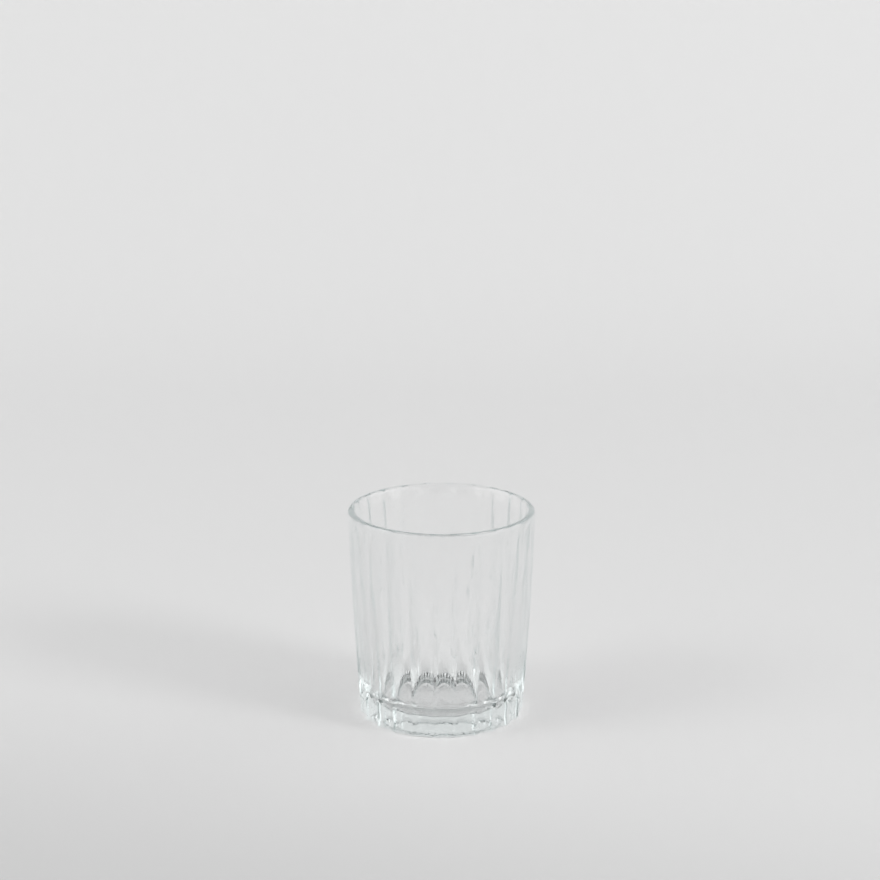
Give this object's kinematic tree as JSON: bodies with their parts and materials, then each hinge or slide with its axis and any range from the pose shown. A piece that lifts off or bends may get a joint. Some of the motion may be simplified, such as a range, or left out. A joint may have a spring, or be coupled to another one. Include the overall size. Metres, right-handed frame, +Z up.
{
  "type": "water glass",
  "caption": "Clear straight-sided drinking tumbler with concave flutes round the outside, a round lip, a thick floor and a shallow hollow under the foot.",
  "frame": {"origin": "centre of the circle on the table that the foot stands on", "axes": "+Z up along the axis of the glass; -Y is the side the picture shows; +X is to the right in it"},
  "size_m": [0.0788, 0.0788, 0.09],
  "materials": {
    "pressed_glass": "clear, smooth and fire-polished"
  },
  "bodies": {
    "root": {"tumbler": "pressed_glass"}
  },
  "joints": []
}
